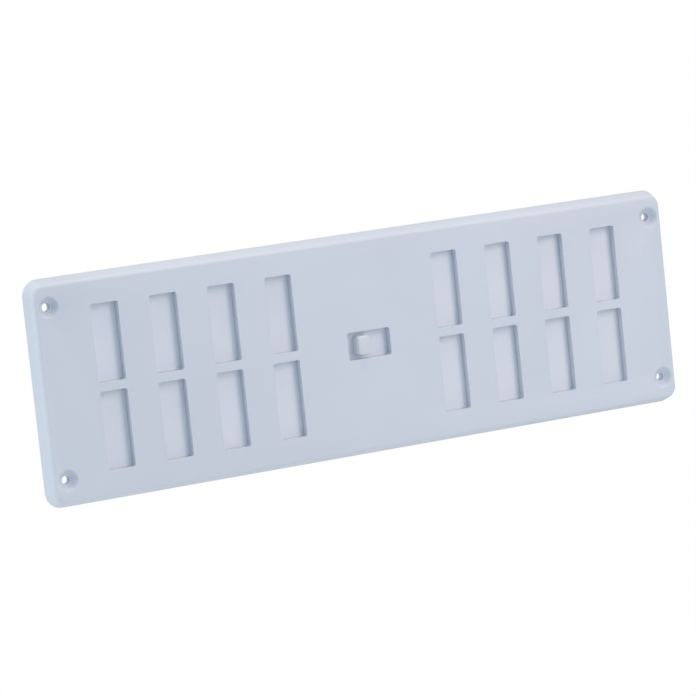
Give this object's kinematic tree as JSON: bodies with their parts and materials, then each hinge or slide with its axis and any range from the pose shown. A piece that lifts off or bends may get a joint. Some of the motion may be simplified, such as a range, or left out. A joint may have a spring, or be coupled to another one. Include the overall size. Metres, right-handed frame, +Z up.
{
  "type": "sliding ventilation grille",
  "caption": "Flat rectangular wall ventilation grille with upright slots in two rows, and a shutter behind them that a nib in a finger window slides open and closed.",
  "frame": {"origin": "centre of the cover's back, on the wall plane, midway between the four screw holes", "axes": "+X along the grille to the right as seen from the room, +Z up, the front faces -Y and +Y points into the wall"},
  "size_m": [0.2502, 0.0067, 0.0786],
  "materials": {
    "cover_plastic": "white moulded plastic, satin face with a slightly softer edge",
    "shutter_plastic": "white moulded plastic, satin"
  },
  "bodies": {
    "cover": {"cover": "cover_plastic"},
    "shutter": {"shutter": "shutter_plastic"}
  },
  "joints": [
    {"name": "shutter_slide", "type": "slide", "parent": "cover", "child": "shutter", "axis": [1, 0, 0], "range_m": [0, 0.0083]}
  ]
}
